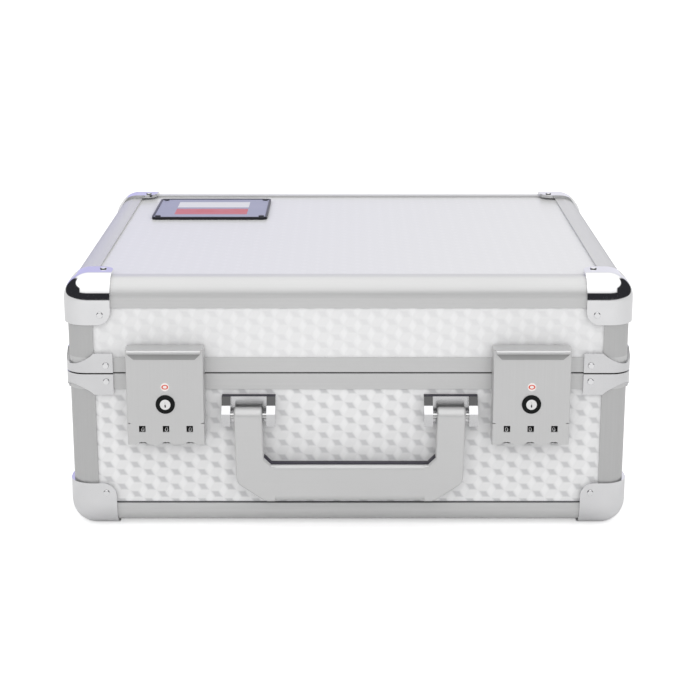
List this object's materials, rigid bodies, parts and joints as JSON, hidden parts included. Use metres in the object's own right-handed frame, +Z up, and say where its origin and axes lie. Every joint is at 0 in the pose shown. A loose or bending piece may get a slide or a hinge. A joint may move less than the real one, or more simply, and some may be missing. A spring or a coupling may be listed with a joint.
{
  "type": "graded card case",
  "caption": "Hard carrying case with a hinged lid, rounded metal edges, corner caps, lever latches with number dials and a swinging bail handle.",
  "frame": {"origin": "middle of the whole part's footprint, on the plane its corner caps stand on", "axes": "+X to the viewer's right along the front, +Y towards the hinges, +Z up"},
  "size_m": [0.3868, 0.351, 0.1793],
  "materials": {
    "aluminium_extrusion": "satin anodised",
    "bracket_steel": "bright plated",
    "chrome_cap": "polished",
    "clamp_steel": "bright plated",
    "dial_black": "black with light numerals",
    "foam": "closed-cell foam",
    "handle_satin": "satin silver",
    "hinge_steel": "nickel plated",
    "key_plug_metal": "polished",
    "key_ring_black": "glossy",
    "laminate_panel": "pearl white laminate with a tumbling-block relief",
    "latch_nickel": "satin nickel",
    "latch_steel": "zinc plated",
    "plaque_black": "black",
    "plaque_blue_grey": "satin",
    "rivet_steel": "polished"
  },
  "bodies": {
    "base": {"base_bottom_rails": "aluminium_extrusion", "base_corner_caps": "chrome_cap", "base_foam": "foam", "base_panel_back": "laminate_panel", "base_panel_bottom": "laminate_panel", "base_panel_front": "laminate_panel", "base_panel_left": "laminate_panel", "base_panel_right": "laminate_panel", "base_posts": "aluminium_extrusion", "base_rivets": "rivet_steel", "base_seam_clamps": "clamp_steel", "base_seam_rails": "aluminium_extrusion", "handle_brackets": "bracket_steel", "handle_pins": "bracket_steel", "hinge_base_leaves": "hinge_steel", "hinge_pins": "hinge_steel", "latch_axle_left": "latch_steel", "latch_axle_right": "latch_steel", "latch_housing_left": "latch_steel", "latch_housing_right": "latch_steel"},
    "lid": {"hinge_lid_leaves": "hinge_steel", "keeper_plates": "latch_steel", "lid_corner_caps": "chrome_cap", "lid_foam": "foam", "lid_panel_back": "laminate_panel", "lid_panel_front": "laminate_panel", "lid_panel_left": "laminate_panel", "lid_panel_right": "laminate_panel", "lid_panel_top": "laminate_panel", "lid_posts": "aluminium_extrusion", "lid_rivets": "rivet_steel", "lid_seam_clamps": "clamp_steel", "lid_seam_rails": "aluminium_extrusion", "lid_top_rails": "aluminium_extrusion", "plaque_face": "plaque_blue_grey", "plaque_frame": "plaque_black", "plaque_rivets": "plaque_black"},
    "handle": {"handle_leg_left": "handle_satin", "handle_leg_right": "handle_satin", "handle_grip": "handle_satin"},
    "catch_left": {"catch_left": "latch_steel"},
    "cover_left": {"catch_pin_left": "latch_steel", "key_ring_left": "key_ring_black", "latch_cover_left": "latch_nickel"},
    "cover_right": {"catch_pin_right": "latch_steel", "key_ring_right": "key_ring_black", "latch_cover_right": "latch_nickel"},
    "catch_right": {"catch_right": "latch_steel"},
    "dial_left_1": {"dial_left_1": "dial_black"},
    "dial_left_2": {"dial_left_2": "dial_black"},
    "dial_left_3": {"dial_left_3": "dial_black"},
    "dial_right_1": {"dial_right_1": "dial_black"},
    "dial_right_2": {"dial_right_2": "dial_black"},
    "dial_right_3": {"dial_right_3": "dial_black"},
    "key_left": {"key_plug_left": "key_plug_metal"},
    "key_right": {"key_plug_right": "key_plug_metal"}
  },
  "joints": [
    {"name": "lid_hinge", "type": "hinge", "parent": "base", "child": "lid", "pos_m": [0, 0.17225, 0.1115], "axis": [-1, 0, 0], "range_deg": [0, 100]},
    {"name": "handle_swing", "type": "hinge", "parent": "base", "child": "handle", "pos_m": [0, -0.16545, 0.0835], "axis": [-1, 0, 0], "range_deg": [0, 95]},
    {"name": "cover_left", "type": "hinge", "parent": "base", "child": "cover_left", "pos_m": [-0.123, -0.16345, 0.0701], "axis": [1, 0, 0], "range_deg": [0, 60]},
    {"name": "key_left", "type": "hinge", "parent": "cover_left", "child": "key_left", "pos_m": [-0.123, -0.16795, 0.0934], "axis": [0, -1, 0], "range_deg": [0, 90]},
    {"name": "catch_left", "type": "hinge", "parent": "cover_left", "child": "catch_left", "pos_m": [-0.123, -0.16755, 0.0851], "axis": [-1, 0, 0], "range_deg": [0, 3]},
    {"name": "dial_left_1_spin", "type": "hinge", "parent": "base", "child": "dial_left_1", "pos_m": [-0.139, -0.16345, 0.0701], "axis": [1, 0, 0], "continuous": true},
    {"name": "dial_left_2_spin", "type": "hinge", "parent": "base", "child": "dial_left_2", "pos_m": [-0.123, -0.16345, 0.0701], "axis": [1, 0, 0], "continuous": true},
    {"name": "dial_left_3_spin", "type": "hinge", "parent": "base", "child": "dial_left_3", "pos_m": [-0.107, -0.16345, 0.0701], "axis": [1, 0, 0], "continuous": true},
    {"name": "cover_right", "type": "hinge", "parent": "base", "child": "cover_right", "pos_m": [0.123, -0.16345, 0.0701], "axis": [1, 0, 0], "range_deg": [0, 60]},
    {"name": "key_right", "type": "hinge", "parent": "cover_right", "child": "key_right", "pos_m": [0.123, -0.16795, 0.0934], "axis": [0, -1, 0], "range_deg": [0, 90]},
    {"name": "catch_right", "type": "hinge", "parent": "cover_right", "child": "catch_right", "pos_m": [0.123, -0.16755, 0.0851], "axis": [-1, 0, 0], "range_deg": [0, 3]},
    {"name": "dial_right_1_spin", "type": "hinge", "parent": "base", "child": "dial_right_1", "pos_m": [0.107, -0.16345, 0.0701], "axis": [1, 0, 0], "continuous": true},
    {"name": "dial_right_2_spin", "type": "hinge", "parent": "base", "child": "dial_right_2", "pos_m": [0.123, -0.16345, 0.0701], "axis": [1, 0, 0], "continuous": true},
    {"name": "dial_right_3_spin", "type": "hinge", "parent": "base", "child": "dial_right_3", "pos_m": [0.139, -0.16345, 0.0701], "axis": [1, 0, 0], "continuous": true}
  ],
  "couplings": [
    {"joint": "catch_left", "follows": "key_left", "ratio": 0.0333},
    {"joint": "catch_right", "follows": "key_right", "ratio": 0.0333}
  ]
}
